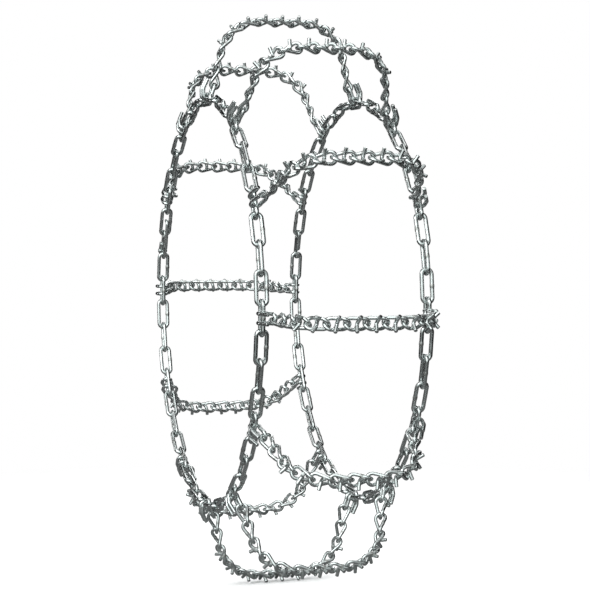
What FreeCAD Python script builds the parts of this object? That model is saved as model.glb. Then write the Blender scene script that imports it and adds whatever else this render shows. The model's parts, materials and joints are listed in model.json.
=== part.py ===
"""Snow chain for one truck tyre.

Two side chains are joined by cross chains of twisted links with welded V-bars.

The origin is the wheel's centre. The wheel's axle is the Y axis, the outer side of the wheel
faces -Y and Z is up. Angles round the wheel are measured from +X towards +Z. All lengths are in
millimetres and all angles in degrees.
"""
import FreeCAD, Part
import Sketcher
import math
import os

Vector = FreeCAD.Vector
Placement = FreeCAD.Placement
Rotation = FreeCAD.Rotation

SAME_PLACE = 1e-6
SOLVED = 1e-9

SIZES = (
    # fitted chain
    ("tyre_radius", 525.0, "outer radius of the tyre that the chain fits"),
    ("cross_chains", 12, "cross chains round the tyre"),
    ("first_cross_angle", -2.5, "angle of the first cross chain"),
    ("bay_pitches", 4, "side links from one cross chain to the next"),
    # side chain links
    ("side_pitch", 50.5, "inside length of a side link, so the step along the chain"),
    ("side_wire", 7.5, "wire diameter"),
    ("side_width", 26.0, "outside width of a link"),
    ("side_slack", 0.3, "play between one link's wire and the next"),
    # cross chain links
    ("cross_pitch", 33.0, "step along the chain"),
    ("cross_wire", 6.5, "wire diameter"),
    ("cross_spread", 18.0, "between the middles of a link's two sides"),
    ("cross_slack", 1.0, "play between one link's wire and the next"),
    ("cross_twist", 94.0, "turn from one end of a link to the other"),
    ("cross_links", 13, "links in one cross chain, an odd number"),
    ("plain_links", 2, "links without a V-bar at each end"),
    ("roll_step", 16.0, "how much further each plain link rolls to meet its hook"),
    # line of a cross chain over the tyre
    ("tread_standoff", 9.5, "tread to the cross chain's middle line"),
    ("shoulder_bend", 76.0, "radius of the line over the shoulder"),
    ("sidewall_lean", 12.0, "slope of the line along the sidewall"),
    # V-bars
    ("bar_wire", 6.5, "bar diameter"),
    ("bar_leg", 18.5, "length of each leg from the corner of the V"),
    ("bar_half_angle", 45.0, "each leg to the middle of the V"),
    ("bar_bend", 5.0, "bend radius at the corner, to the bar's middle"),
    ("bar_rise", 1.2, "corner of the V, to the bar's middle, above the middle of the link"),
    ("bar_slant", 15.0, "turn of the V across the link"),
    # cross chain hooks
    ("hook_wire", 7.0, "rod diameter"),
    ("hook_spread", 16.0, "between the middles of the two legs"),
    ("hook_eye", 8.4, "curl round the side link's wire, to the rod's middle"),
    ("hook_run", 9.0, "straight run of each leg past the curl"),
    ("hook_bend", 9.0, "bend radius of each leg, to the rod's middle"),
    ("hook_tip", 18.0, "run of each leg past its bend"),
    ("tip_lean", 25.0, "how far the tips lean towards the tyre"),
    ("bow_lean", 20.0, "how far the bow leans towards the tyre"),
    ("bow_run", 10.2, "straight run on the tyre side, up to the bow"),
    # both fasteners
    ("plate_thickness", 7.5, "forged plate of each fastener"),
    ("eye_hole", 5.5, "radius of the eye's hole"),
    ("eye_rim", 12.0, "outside radius of the eye"),
    ("eye_round", 3.2, "rounding of the eye's edges"),
    ("plate_round", 2.0, "rounding of the plate's outline"),
    ("fastener_bay", 5, "bay that holds the fasteners, counted from the first cross chain"),
    # outer fastener
    ("pin_along", 18.0, "lever pin past the middle of the fastener, along the chain"),
    ("pin_out", 11.5, "lever pin from the chain's line, away from the hub"),
    ("pin_radius", 2.5, "shank of the lever pin"),
    ("pin_play", 0.05, "radial play of the lever on its pin"),
    ("rivet_radius", 4.5, "heads of the pin"),
    ("rivet_height", 1.8, "height of each head"),
    ("boss_radius", 6.0, "clevis and lever root round the pin"),
    ("clevis_back", 15.0, "clevis behind the pin, along the chain"),
    ("slot_back", 7.5, "slot of the clevis behind the pin"),
    ("slot_width", 8.2, "slot between the cheeks of the clevis"),
    ("clevis_width", 15.0, "over both cheeks of the clevis"),
    ("lever_wire", 7.0, "rod diameter of the lever"),
    ("lever_crook", 8.2, "bend that holds the end link, to the rod's middle"),
    ("lever_slope", 23.0, "slope of the lever behind the crook"),
    ("lever_drop", 17.0, "handle from the chain's line, towards the hub"),
    ("lever_bend", 16.0, "bend between the slope and the handle"),
    ("lever_reach", 54.0, "tip of the lever behind the middle of the fastener"),
    ("lever_tip_bend", 8.0, "bend of the tip, to the rod's middle"),
    ("lever_tip", 3.0, "straight end of the tip"),
    # inner fastener
    ("mouth_width", 8.8, "mouth of the inner hook"),
    ("mouth_angle", 238.0, "direction of the mouth, from the chain's line"),
    ("mouth_length", 18.0, "cut of the mouth from the hook's centre"),
)


class Sizes:
    """The sheet's numbers, read back by name."""

    def __init__(self, sheet):
        self.sheet = sheet

    def __getattr__(self, alias):
        return float(self.sheet.get(alias))


def make_sheet(doc):
    """The driving dimensions, one row each: name, value, meaning."""
    sheet = doc.addObject("Spreadsheet::Sheet", "sizes")
    for row, (alias, value, meaning) in enumerate(SIZES, start=1):
        sheet.set(f"A{row}", alias)
        sheet.set(f"B{row}", str(value))
        sheet.set(f"C{row}", meaning)
        sheet.setAlias(f"B{row}", alias)
    doc.recompute()
    return sheet


# ------------------------------------------------------------------ sketched bodies


def origin_plane(body, role):
    """One of the body's own origin planes."""
    return next(f for f in body.Origin.OriginFeatures if f.Role == role)


def new_sketch(body, role, name):
    """A sketch on one of the body's origin planes."""
    sketch = body.newObject("Sketcher::SketchObject", name)
    sketch.AttachmentSupport = [(origin_plane(body, role), "")]
    sketch.MapMode = "FlatFace"
    return sketch


def bind(sketch, name, expression, *constraint):
    """A named dimension of the sketch, bound to the sheet."""
    index = sketch.addConstraint(Sketcher.Constraint(*constraint))
    sketch.renameConstraint(index, name)
    sketch.setExpression(f"Constraints.{name}", expression)


def place_centre(sketch, geometry, name, across, along):
    """Puts a circle's or an arc's centre at two expressions from the sketch's origin."""
    for kind, suffix, expression in (("DistanceX", "x", across), ("DistanceY", "y", along)):
        if expression == "0":
            axis = -2 if kind == "DistanceX" else -1
            sketch.addConstraint(Sketcher.Constraint("PointOnObject", geometry, 3, axis))
        else:
            bind(sketch, name + suffix, expression, kind, -1, 1, geometry, 3, 1.0)


def circle_sketch(body, role, name, radius, across="0", along="0"):
    """A circle whose radius and centre are expressions."""
    sketch = new_sketch(body, role, name)
    sketch.addGeometry(Part.Circle(Vector(1, 1, 0), Vector(0, 0, 1), 1.0), False)
    bind(sketch, "radius", radius, "Radius", 0, 1.0)
    place_centre(sketch, 0, "centre_", across, along)
    return sketch


def hull_sketch(body, name, first, second):
    """The outline round two circles with the lines that touch both, on the XY plane.

    Each circle is (x, y, radius) as numbers, then the same three as expressions.
    """
    (x1, y1, r1), words1 = first
    (x2, y2, r2), words2 = second
    heading = math.atan2(y2 - y1, x2 - x1)
    spread = math.acos((r1 - r2) / math.hypot(x2 - x1, y2 - y1))
    upper = heading + spread
    lower = heading - spread

    def on_circle(x, y, r, angle):
        return Vector(x + r * math.cos(angle), y + r * math.sin(angle), 0)

    def arc(x, y, r, start, end):
        return Part.ArcOfCircle(Part.Circle(Vector(x, y, 0), Vector(0, 0, 1), r), start, end)

    sketch = new_sketch(body, "XY_Plane", name)
    sketch.addGeometry(arc(x1, y1, r1, upper, lower + 2 * math.pi), False)
    sketch.addGeometry(
        Part.LineSegment(on_circle(x1, y1, r1, lower), on_circle(x2, y2, r2, lower)), False
    )
    sketch.addGeometry(arc(x2, y2, r2, lower, upper), False)
    sketch.addGeometry(
        Part.LineSegment(on_circle(x2, y2, r2, upper), on_circle(x1, y1, r1, upper)), False
    )
    for one, its_end, other, other_end in ((0, 2, 1, 1), (1, 2, 2, 1), (2, 2, 3, 1), (3, 2, 0, 1)):
        sketch.addConstraint(Sketcher.Constraint("Tangent", one, its_end, other, other_end))
    for geometry, words, label in ((0, words1, "first_"), (2, words2, "second_")):
        place_centre(sketch, geometry, label, words[0], words[1])
        bind(sketch, label + "radius", words[2], "Radius", geometry, 1.0)
    return sketch


def pad(body, sketch, name, length):
    """A pad to both sides of its sketch."""
    feature = body.newObject("PartDesign::Pad", name)
    feature.Profile = sketch
    feature.SideType = "Symmetric"
    feature.setExpression("Length", length)
    return feature


def pocket_through(body, sketch, name):
    """A pocket right through, both ways from its sketch."""
    feature = body.newObject("PartDesign::Pocket", name)
    feature.Profile = sketch
    feature.SideType = "Symmetric"
    feature.Type = "ThroughAll"
    return feature


def rounded(body, name, size, chosen):
    """A fillet on the chosen edges of the body so far."""
    solid = body.Tip
    edges = [f"Edge{i}" for i, edge in enumerate(solid.Shape.Edges, start=1) if chosen(edge)]
    fillet = body.newObject("PartDesign::Fillet", name)
    fillet.Base = (solid, edges)
    fillet.setExpression("Radius", size)
    return fillet


def on_faces(edge, height):
    """Whether an edge lies flat on either face of a plate."""
    return all(abs(abs(corner.Z) - height) < SAME_PLACE for corner in edge.Vertexes)


def is_rim(edge, radius):
    """Whether an edge is an arc of the given radius."""
    return edge.Curve.TypeId == "Part::GeomCircle" and abs(edge.Curve.Radius - radius) < SAME_PLACE


def pipe(body, path, profile, name):
    """The profile swept along the whole of the path sketch."""
    feature = body.newObject("PartDesign::AdditivePipe", name)
    feature.Profile = profile
    feature.Spine = (path, [])
    return feature


def new_body(doc, name):
    body = doc.addObject("PartDesign::Body", name)
    body.Label = name
    return body


# ------------------------------------------------------------------ bent rods


def arc(start, middle, end):
    return Part.Arc(start, middle, end).toShape()


def line(start, end):
    return Part.LineSegment(start, end).toShape()


def bent_rod(path, radius):
    """One round rod along smooth edges: cylinders on the lines, torus pieces on the arcs."""
    pieces = []
    for edge in path:
        start = edge.valueAt(edge.FirstParameter)
        along = edge.tangentAt(edge.FirstParameter)
        disc = Part.Face(Part.Wire(Part.makeCircle(radius, start, along)))
        if edge.Curve.TypeId == "Part::GeomLine":
            pieces.append(disc.extrude(edge.valueAt(edge.LastParameter) - start))
        else:
            turn = math.degrees(edge.LastParameter - edge.FirstParameter)
            pieces.append(disc.revolve(edge.Curve.Center, edge.Curve.Axis, turn))
    return pieces[0].multiFuse(pieces[1:]).Solids[0]


def planar_path(start, heading, steps):
    """Edges of a flat path on the XY plane, with its last point and its last heading.

    A step is ("run", length) or ("turn", radius, degrees to the left).
    """
    edges = []
    point = Vector(start)
    for step in steps:
        ahead = Vector(math.cos(math.radians(heading)), math.sin(math.radians(heading)), 0)
        if step[0] == "run":
            end = point + ahead * step[1]
            edges.append(line(point, end))
        else:
            radius, turn = step[1], step[2]
            side = math.copysign(1, turn)
            centre = point + Vector(-ahead.y, ahead.x, 0) * (radius * side)
            arm = point - centre
            middle = centre + Rotation(Vector(0, 0, 1), turn / 2).multVec(arm)
            end = centre + Rotation(Vector(0, 0, 1), turn).multVec(arm)
            edges.append(arc(point, middle, end))
            heading += turn
        point = end
    return edges, point, heading


def rod_feature(doc, name, shape):
    feature = doc.addObject("Part::Feature", name)
    feature.Label = name
    feature.Shape = shape
    return feature


# ------------------------------------------------------------------ one of each repeated piece


def make_side_link(doc, at):
    """A straight oval welded link, long way on X, width on Y."""
    body = new_body(doc, "side_link")
    bend = (at.side_width - at.side_wire) / 2
    half = (at.side_pitch + at.side_wire + at.side_slack) / 2 - bend
    path = new_sketch(body, "XY_Plane", "side_link_path")
    path.addGeometry(Part.LineSegment(Vector(-half, bend, 0), Vector(half, bend, 0)), False)
    for side in (1, -1):
        circle = Part.Circle(Vector(side * half, 0, 0), Vector(0, 0, 1), bend)
        turn = 0 if side > 0 else math.pi
        path.addGeometry(Part.ArcOfCircle(circle, turn - math.pi / 2, turn + math.pi / 2), False)
        if side > 0:
            path.addGeometry(Part.LineSegment(Vector(half, -bend, 0), Vector(-half, -bend, 0)), False)
    for one, its_end, other, other_end in ((0, 2, 1, 2), (1, 1, 2, 1), (2, 2, 3, 2), (3, 1, 0, 1)):
        path.addConstraint(Sketcher.Constraint("Tangent", one, its_end, other, other_end))
    path.addConstraint(Sketcher.Constraint("Symmetric", 1, 3, 3, 3, -1, 1))
    path.addConstraint(Sketcher.Constraint("PointOnObject", 1, 3, -1))
    width = "(sizes.side_width - sizes.side_wire) / 2"
    length = "(sizes.side_pitch + sizes.side_wire + sizes.side_slack) / 2"
    bind(path, "bend", width, "Radius", 1, bend)
    bind(path, "half", f"{length} - {width}", "DistanceX", -1, 1, 1, 3, half)
    profile = circle_sketch(body, "YZ_Plane", "side_link_wire", "sizes.side_wire / 2", width)
    doc.recompute()
    pipe(body, path, profile, "side_link_bar")
    return body


def tangent_arc(start, along, end):
    """The arc from start to end that sets off in the direction given."""
    chord = end - start
    side = along.cross(chord).normalize().cross(along)
    radius = chord.dot(chord) / (2 * chord.dot(side))
    centre = start + side * radius
    middle = ((start + end) * 0.5 - centre).normalize() * radius
    return arc(start, centre + middle, end)


def make_cross_link(doc, at):
    """A twisted link, its long way on X and its middle flat in XY.

    Its ends are rolled half the twist each way about X. Each bow is two arcs that meet at the
    link's end, and each side is straight and slopes just enough to run smoothly into both arcs.
    """
    side = at.cross_spread / 2
    end = (at.cross_pitch + at.cross_wire + at.cross_slack) / 2
    roll = math.radians(at.cross_twist / 2)
    slope = math.atan(side * math.tan(roll) / end)
    meet = end - side * math.cos(slope) / math.cos(roll)
    rise = meet * math.tan(slope)
    path = []
    for sign in (1, -1):
        tip = Vector(sign * end, 0, 0)
        across = Vector(0, sign * math.cos(roll), math.sin(roll))
        here, there = Vector(sign * meet, sign * side, rise), Vector(sign * meet, -sign * side, -rise)
        to_tip = Vector(sign * math.cos(slope), 0, -math.sin(slope))
        path.append(tangent_arc(there, to_tip, tip))
        path.append(tangent_arc(tip, across, here))
        path.append(line(here, Vector(-here.x, here.y, -here.z)))
    return rod_feature(doc, "cross_link", bent_rod(path, at.cross_wire / 2))


def make_v_bar(doc, at):
    """A V-bar: the V in the YZ plane, its corner at the bottom, its legs rising towards +Z."""
    body = new_body(doc, "v_bar")
    half_angle = math.radians(at.bar_half_angle)
    trim = at.bar_bend / math.tan(half_angle)
    lean = Vector(math.sin(half_angle), math.cos(half_angle), 0)
    corner_height = at.bar_bend / math.sin(half_angle) - at.bar_bend
    corner = Vector(0, -corner_height, 0)
    bend_end = corner + lean * trim
    tip = corner + lean * at.bar_leg
    path = new_sketch(body, "YZ_Plane", "v_bar_path")
    circle = Part.Circle(Vector(0, at.bar_bend, 0), Vector(0, 0, 1), at.bar_bend)
    bend_turn = math.pi / 2 - half_angle
    path.addGeometry(Part.ArcOfCircle(circle, -math.pi / 2, -math.pi / 2 + bend_turn), False)
    path.addGeometry(Part.LineSegment(bend_end, tip), False)
    path.addConstraint(Sketcher.Constraint("Coincident", 0, 1, -1, 1))
    path.addConstraint(Sketcher.Constraint("PointOnObject", 0, 3, -2))
    path.addConstraint(Sketcher.Constraint("Tangent", 0, 2, 1, 1))
    bind(path, "bend", "sizes.bar_bend", "Radius", 0, at.bar_bend)
    bind(path, "rise", "90 deg - sizes.bar_half_angle * 1 deg", "Angle", 1, bend_turn)
    bind(
        path,
        "leg",
        "sizes.bar_leg - sizes.bar_bend / tan(sizes.bar_half_angle * 1 deg)",
        "Distance",
        1,
        at.bar_leg - trim,
    )
    profile = circle_sketch(body, "XZ_Plane", "v_bar_section", "sizes.bar_wire / 2")
    doc.recompute()
    leg = pipe(body, path, profile, "v_bar_leg")
    doc.recompute()
    mirror = body.newObject("PartDesign::Mirrored", "v_bar_legs")
    mirror.Originals = [leg]
    mirror.MirrorPlane = (origin_plane(body, "XZ_Plane"), [""])
    body.Tip = mirror
    return body


def hook_profile(at, side):
    """One leg of a hook in the XY plane, X away from the hub and Y to the tyre.

    The side link's wire is at the origin. side is "tip" for the outer run, which ends in the cut
    tip, or "bow" for the run that ends at the bow.
    """
    if side == "tip":
        steps = [("run", at.hook_run), ("turn", at.hook_bend, at.tip_lean), ("run", at.hook_tip)]
        start = Vector(0, -at.hook_eye, 0)
    else:
        steps = [("turn", at.hook_bend, at.bow_lean), ("run", at.bow_run)]
        start = Vector(0, at.hook_eye, 0)
    return planar_path(start, 0, steps)


def hook_reach(at):
    """The bow rod's middle from the side link wire's middle: away from the hub, towards the tyre."""
    end, heading = hook_profile(at, "bow")[1:]
    lean = math.radians(heading)
    bow = end + Vector(math.cos(lean), math.sin(lean), 0) * (at.hook_spread / 2)
    return bow.x, bow.y


def make_hook(doc, at):
    """A cross chain's end hook: two legs curled round the Z axis, joined by a bow."""
    legs = []
    for z in (at.hook_spread / 2, -at.hook_spread / 2):
        curl = arc(
            Vector(0, -at.hook_eye, 0), Vector(-at.hook_eye, 0, 0), Vector(0, at.hook_eye, 0)
        )
        edges = [*hook_profile(at, "tip")[0], curl, *hook_profile(at, "bow")[0]]
        for edge in edges:
            edge.translate(Vector(0, 0, z))
        legs.extend(edges)
    end, heading = hook_profile(at, "bow")[1:]
    lean = math.radians(heading)
    spread = Vector(0, 0, at.hook_spread / 2)
    bow_top = end + Vector(math.cos(lean), math.sin(lean), 0) * (at.hook_spread / 2)
    bow = arc(end + spread, bow_top, end - spread)
    return rod_feature(doc, "hook", bent_rod([*legs, bow], at.hook_wire / 2))


# ------------------------------------------------------------------ fasteners


def eye_centre(at):
    """How far along X the eye, which holds the link before, stands from the fastener's middle."""
    return at.eye_hole - (at.side_pitch + at.side_slack) / 2


EYE_X = "sizes.eye_hole - (sizes.side_pitch + sizes.side_slack) / 2"


def caught_wire(at):
    """The middle of the end link's wire in the crook of the lever, along X."""
    return at.side_pitch / 2 - (at.side_wire + at.side_slack) / 2


CAUGHT_X = "sizes.side_pitch / 2 - (sizes.side_wire + sizes.side_slack) / 2"


def make_fastener_body(doc, at):
    """A forged plate: the eye at one end, the clevis of the lever at the other."""
    body = new_body(doc, "fastener_body")
    eye = ((eye_centre(at), 0, at.eye_rim), (EYE_X, "0", "sizes.eye_rim"))
    pin = (
        (at.pin_along, at.pin_out, at.boss_radius),
        ("sizes.pin_along", "sizes.pin_out", "sizes.boss_radius"),
    )
    lean = at.pin_out / (at.pin_along - eye_centre(at))
    back = (
        (at.pin_along - at.clevis_back, at.pin_out - at.clevis_back * lean, at.boss_radius),
        (
            "sizes.pin_along - sizes.clevis_back",
            f"sizes.pin_out - sizes.clevis_back * sizes.pin_out / (sizes.pin_along - ({EYE_X}))",
            "sizes.boss_radius",
        ),
    )
    face = at.plate_thickness / 2
    pad(body, hull_sketch(body, "plate_outline", eye, pin), "plate", "sizes.plate_thickness")
    doc.recompute()
    rounded(body, "plate_edges", "sizes.plate_round", lambda edge: on_faces(edge, face))
    doc.recompute()
    hole = circle_sketch(body, "XY_Plane", "eye_outline", "sizes.eye_hole", EYE_X)
    pocket_through(body, hole, "eye_bore")
    doc.recompute()
    rounded(body, "eye_edges", "sizes.eye_round", lambda edge: is_rim(edge, at.eye_hole))
    doc.recompute()
    pad(body, hull_sketch(body, "clevis_outline", back, pin), "clevis", "sizes.clevis_width")
    doc.recompute()
    pin_hole = circle_sketch(
        body, "XY_Plane", "pin_hole", "sizes.pin_radius", "sizes.pin_along", "sizes.pin_out"
    )
    pocket_through(body, pin_hole, "pin_bore")
    doc.recompute()
    slot = new_sketch(body, "XY_Plane", "slot_outline")
    corners = [(1, 1), (2, 1), (2, 2), (1, 2)]
    for (x1, y1), (x2, y2) in zip(corners, corners[1:] + corners[:1]):
        slot.addGeometry(Part.LineSegment(Vector(x1, y1, 0), Vector(x2, y2, 0)), False)
    for side in range(4):
        slot.addConstraint(Sketcher.Constraint("Coincident", side, 2, (side + 1) % 4, 1))
        slot.addConstraint(Sketcher.Constraint("Vertical" if side % 2 else "Horizontal", side))
    bind(slot, "left", "sizes.pin_along - sizes.slot_back", "DistanceX", -1, 1, 0, 1, 1.0)
    bind(slot, "base", "sizes.pin_out - 2 * sizes.boss_radius", "DistanceY", -1, 1, 0, 1, 1.0)
    bind(slot, "length", "sizes.slot_back + 2 * sizes.boss_radius", "DistanceX", 0, 1, 0, 2, 1.0)
    bind(slot, "height", "4 * sizes.boss_radius", "DistanceY", 1, 1, 1, 2, 1.0)
    cut = pocket_through(body, slot, "clevis_slot")
    cut.Type = "Length"
    cut.setExpression("Length", "sizes.slot_width")
    return body


def make_fastener_pin(doc, at):
    """The riveted pin: a shank through both cheeks with a low head on each."""
    body = new_body(doc, "fastener_pin")
    shank = circle_sketch(
        body, "XY_Plane", "shank", "sizes.pin_radius", "sizes.pin_along", "sizes.pin_out"
    )
    pad(body, shank, "pin_shank", "sizes.clevis_width + sizes.rivet_height")
    doc.recompute()
    for name, up in (("upper", 1), ("lower", -1)):
        head = circle_sketch(
            body,
            "XY_Plane",
            f"{name}_head_outline",
            "sizes.rivet_radius",
            "sizes.pin_along",
            "sizes.pin_out",
        )
        head.setExpression(
            ".AttachmentOffset.Base.z", f"{up} * (sizes.clevis_width + sizes.rivet_height) / 2"
        )
        pad(body, head, f"{name}_head", "sizes.rivet_height")
        doc.recompute()
    heads = body.Tip
    top = at.clevis_width / 2 + at.rivet_height
    rims = [
        f"Edge{number}"
        for number, edge in enumerate(heads.Shape.Edges, start=1)
        if is_rim(edge, at.rivet_radius) and on_faces(edge, top)
    ]
    chamfer = body.newObject("PartDesign::Chamfer", "head_edges")
    chamfer.Base = (heads, rims)
    chamfer.setExpression("Size", "sizes.rivet_height / 2")
    return body


def lever_line(at):
    """The lever's middle line: pin, crook round the caught wire, slope, handle and tip."""
    pin = Vector(at.pin_along, at.pin_out, 0)
    caught = Vector(caught_wire(at), 0, 0)
    to_pin = pin - caught
    tangent = math.degrees(math.atan2(to_pin.y, to_pin.x) - math.acos(at.lever_crook / to_pin.Length))
    first_run = math.sqrt(to_pin.Length**2 - at.lever_crook**2)
    heading = tangent - 90
    slope_heading = -180 + at.lever_slope
    crook_turn = slope_heading - heading
    slope = math.radians(at.lever_slope)
    crook_end_y = -at.lever_crook * math.cos(slope)
    bend_drop = at.lever_bend * (1 - math.cos(slope))
    slope_run = (at.lever_drop + crook_end_y - bend_drop) / math.sin(slope)
    crook_end_x = caught.x + at.lever_crook * math.sin(slope)
    bend_end_x = crook_end_x - slope_run * math.cos(slope) - at.lever_bend * math.sin(slope)
    handle_run = bend_end_x + at.lever_reach - at.lever_tip_bend
    steps = [
        ("run", first_run),
        ("turn", at.lever_crook, crook_turn),
        ("run", slope_run),
        ("turn", at.lever_bend, -at.lever_slope),
        ("run", handle_run),
        ("turn", at.lever_tip_bend, -90),
        ("run", at.lever_tip),
    ]
    return planar_path(pin, heading, steps)[0]


def make_fastener_lever(doc, at):
    """A bent rod with a flat-sided root on the pin."""
    pin = Vector(at.pin_along, at.pin_out, 0)
    up = Vector(0, 0, 1)
    rod = bent_rod(lever_line(at), at.lever_wire / 2)
    root = Part.makeCylinder(at.boss_radius, at.lever_wire, pin - up * (at.lever_wire / 2), up)
    bore = Part.makeCylinder(
        at.pin_radius + at.pin_play, 2 * at.lever_wire, pin - up * at.lever_wire, up
    )
    return rod_feature(doc, "fastener_lever", rod.fuse(root).cut(bore).Solids[0])


def make_inner_hook(doc, at):
    """A forged plate with an eye at one end and an open hook at the other."""
    body = new_body(doc, "inner_fastener_hook")
    eye = ((eye_centre(at), 0, at.eye_rim), (EYE_X, "0", "sizes.eye_rim"))
    hook = ((caught_wire(at), 0, at.eye_rim), (CAUGHT_X, "0", "sizes.eye_rim"))
    face = at.plate_thickness / 2
    pad(body, hull_sketch(body, "hook_outline", eye, hook), "hook_plate", "sizes.plate_thickness")
    doc.recompute()
    rounded(body, "hook_edges", "sizes.plate_round", lambda edge: on_faces(edge, face))
    doc.recompute()
    for name, across, size in (("hook_eye", EYE_X, at.eye_hole), ("seat", CAUGHT_X, at.mouth_width / 2)):
        radius = "sizes.eye_hole" if name == "hook_eye" else "sizes.mouth_width / 2"
        hole = circle_sketch(body, "XY_Plane", name + "_outline", radius, across)
        pocket_through(body, hole, name + "_bore")
        doc.recompute()
        rounded(body, name + "_edges", "sizes.eye_round", lambda edge: is_rim(edge, size))
        doc.recompute()
    mouth = new_sketch(body, "XY_Plane", "mouth_line")
    turn = math.radians(at.mouth_angle)
    ahead = Vector(math.cos(turn), math.sin(turn), 0)
    beside = Vector(-ahead.y, ahead.x, 0) * (at.mouth_width / 2)
    seat = Vector(caught_wire(at), 0, 0)
    end = seat + ahead * at.mouth_length
    corners = [seat - beside, end - beside, end + beside, seat + beside]
    for corner, after in zip(corners, corners[1:] + corners[:1]):
        mouth.addGeometry(Part.LineSegment(corner, after), False)
    for side in range(4):
        mouth.addConstraint(Sketcher.Constraint("Coincident", side, 2, (side + 1) % 4, 1))
    pocket_through(body, mouth, "mouth")
    return body


# ------------------------------------------------------------------ where everything goes


class Hoop:
    """The two side chains as polygons of equal pitches round the axle."""

    def __init__(self, at):
        self.at = at
        self.pitches = int(at.cross_chains * at.bay_pitches)
        self.step = 360 / self.pitches
        corner_radius = at.side_pitch / 2 / math.sin(math.radians(self.step / 2))
        self.link_radius = corner_radius * math.cos(math.radians(self.step / 2))
        self.hooked_wire = self.link_radius + (at.side_width - at.side_wire) / 2

    def link(self, index, offset):
        """Place of a link: even links lie flat on the sidewall and odd ones stand on edge."""
        angle = self.at.first_cross_angle + index * self.step
        around = Rotation(Vector(0, -1, 0), angle)
        upright = Rotation(Vector(0, 0, 1), Vector(1, 0, 0), Vector(0, 1, 0), "ZXY")
        turn = around.multiply(upright)
        if index % 2:
            turn = turn.multiply(Rotation(Vector(1, 0, 0), 90))
        place = around.multVec(Vector(self.link_radius, 0, 0))
        return Placement(place + Vector(0, offset, 0), turn)


class CrossLine:
    """The line of one cross chain in the plane of X, away from the axle, and Y, where Y is negative."""

    def __init__(self, at, hoop):
        self.at = at
        self.top = at.tyre_radius + at.tread_standoff
        self.turn = math.radians(90 - at.sidewall_lean)
        low, high = 1.0, at.cross_links * at.cross_pitch / 2
        while high - low > SOLVED:
            self.flat = (low + high) / 2
            if self.hook_wire()[0] < hoop.hooked_wire:
                low = self.flat
            else:
                high = self.flat
        self.side_offset = -self.hook_wire()[1]

    def point(self, travelled):
        """The point at a distance along the line from the wheel's middle plane."""
        bend = self.at.shoulder_bend
        if travelled <= self.flat:
            return Vector(self.top, -travelled, 0)
        swept = min((travelled - self.flat) / bend, self.turn)
        middle = Vector(self.top - bend, -self.flat, 0)
        on_bend = middle + Vector(math.cos(swept), -math.sin(swept), 0) * bend
        past = travelled - self.flat - self.turn * bend
        if past <= 0:
            return on_bend
        return on_bend - Vector(math.sin(self.turn), math.cos(self.turn), 0) * past

    def joints(self):
        """Where each link meets the next, one pitch apart, from the middle link outwards."""
        pitch = self.at.cross_pitch
        travelled = pitch / 2
        points = [self.point(travelled)]
        for _ in range(int(self.at.cross_links) // 2):
            low, high = travelled, travelled + 2 * pitch
            while high - low > SOLVED:
                trial = (low + high) / 2
                if (self.point(trial) - points[-1]).Length < pitch:
                    low = trial
                else:
                    high = trial
            travelled = low
            points.append(self.point(travelled))
        return points

    def hook_wire(self):
        """The middle of the side link's wire that the end hook is curled round."""
        last, before = self.joints()[-1], self.joints()[-2]
        along = (before - last).normalize()
        bow = last + along * ((self.at.hook_wire + self.at.cross_slack) / 2)
        away, inwards = hook_reach(self.at)
        return bow.x - away, bow.y - inwards

    def links(self):
        """(place, roll) of every link, outer hook to inner hook, with the chain standing at angle 0."""
        outwards = self.joints()
        chain = outwards[::-1] + [Vector(p.x, -p.y, 0) for p in outwards]
        frames = []
        for number, (start, end) in enumerate(zip(chain, chain[1:])):
            along = (end - start).normalize()
            outward = Vector(along.y, -along.x, 0)
            turn = Rotation(along, outward.cross(along), outward, "XZY")
            from_end = min(number, len(chain) - 2 - number)
            steps = max(0, self.at.plain_links - from_end)
            sign = -1 if number < len(chain) / 2 else 1
            roll = Rotation(Vector(1, 0, 0), sign * steps * self.at.roll_step)
            frames.append((Placement((start + end) * 0.5, turn), roll))
        return frames

    def hooks(self):
        """Places of the outer and the inner hook, the chain standing at angle 0."""
        away, offset = self.hook_wire()
        outer = Placement(Vector(away, offset, 0), Rotation())
        flipped = Rotation(Vector(1, 0, 0), 180)
        inner = Placement(Vector(away, -offset, 0), flipped)
        return [outer, inner]


# ------------------------------------------------------------------ groups of pieces


def copy_of(doc, piece, name, placement):
    """A linked copy of one piece."""
    link = doc.addObject("App::Link", name)
    link.LinkedObject = piece
    link.Placement = placement
    return link


def group(doc, name, copies):
    """Separate pieces that share a node."""
    compound = doc.addObject("Part::Compound", name)
    compound.Label = name
    compound.Links = copies
    return compound


def copies_of(doc, piece, name, placements):
    return group(
        doc,
        name,
        [copy_of(doc, piece, f"{name}_{i + 1:02d}", p) for i, p in enumerate(placements)],
    )


def cross_chain_groups(doc, at, cross_line):
    """The links, V-bars and hooks of one cross chain that stands at angle 0."""
    cross_link = make_cross_link(doc, at)
    v_bar = make_v_bar(doc, at)
    hook = make_hook(doc, at)
    frames = cross_line.links()
    plain = int(at.plain_links)
    on_link = Placement(Vector(0, 0, at.bar_rise), Rotation(Vector(0, 0, 1), -at.bar_slant))
    rolled = [Placement(place.Base, place.Rotation.multiply(roll)) for place, roll in frames]
    barred = [place.multiply(on_link) for place, _ in frames[plain:-plain]]
    return {
        "links": copies_of(doc, cross_link, "links", rolled),
        "v_bars": copies_of(doc, v_bar, "v_bars", barred),
        "hooks": copies_of(doc, hook, "hooks", cross_line.hooks()),
    }


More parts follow.
